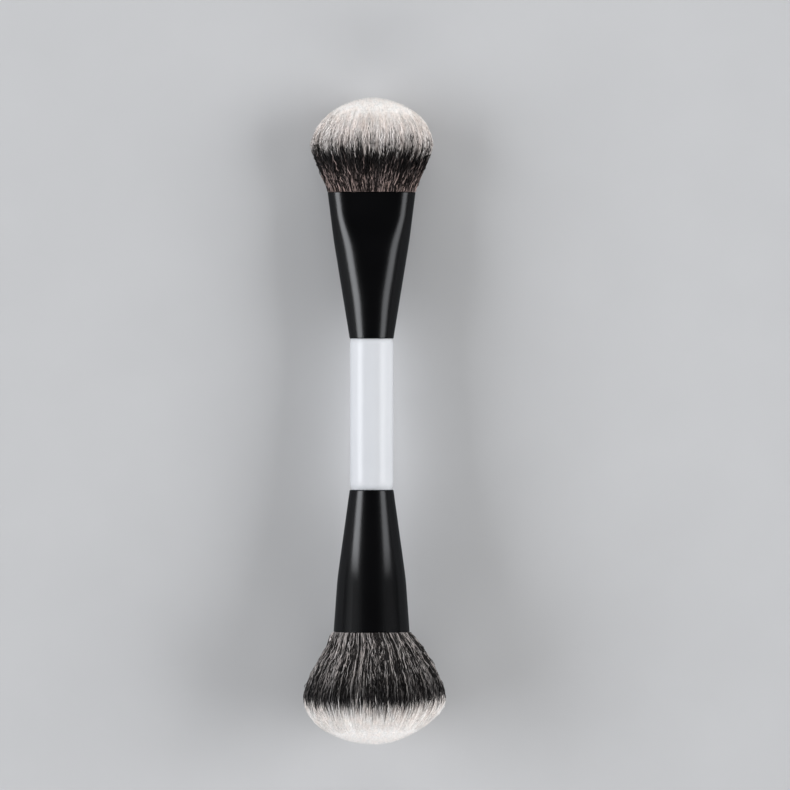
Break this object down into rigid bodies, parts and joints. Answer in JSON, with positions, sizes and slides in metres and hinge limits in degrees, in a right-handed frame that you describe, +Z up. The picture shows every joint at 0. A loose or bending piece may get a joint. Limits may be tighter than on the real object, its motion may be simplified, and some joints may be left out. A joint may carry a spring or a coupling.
{
  "type": "double ended makeup brush",
  "caption": "Face makeup brush with a domed bristle head at each end of a slim white grip, one in a round black ferrule and one in a flattened ferrule.",
  "frame": {"origin": "on the surface that the brush lies on, under the middle of its outer box", "axes": "+Y along the brush as it lies, towards the flattened ferrule's head, +Z up, +X across, so that the flattened ferrule's broad sides face up and down"},
  "size_m": [0.0392, 0.1786, 0.0385],
  "materials": {
    "lacquered_grip": "turned wood under smooth white gloss lacquer",
    "black_ferrule": "drawn aluminium under black satin-gloss lacquer",
    "hard_glue": "hardened clear glue, slightly amber",
    "thread": "wound thread, matt",
    "bristle": "fine synthetic bristles, grey-brown at the ferrule, black in the middle and white at the crown"
  },
  "bodies": {
    "root": {"handle": "lacquered_grip", "flat_ferrule": "black_ferrule", "round_ferrule": "black_ferrule", "flat_glue_plug": "hard_glue", "round_glue_plug": "hard_glue", "flat_root_tie": "thread", "round_root_tie": "thread", "flat_bristles": "bristle", "round_bristles": "bristle"}
  },
  "joints": []
}
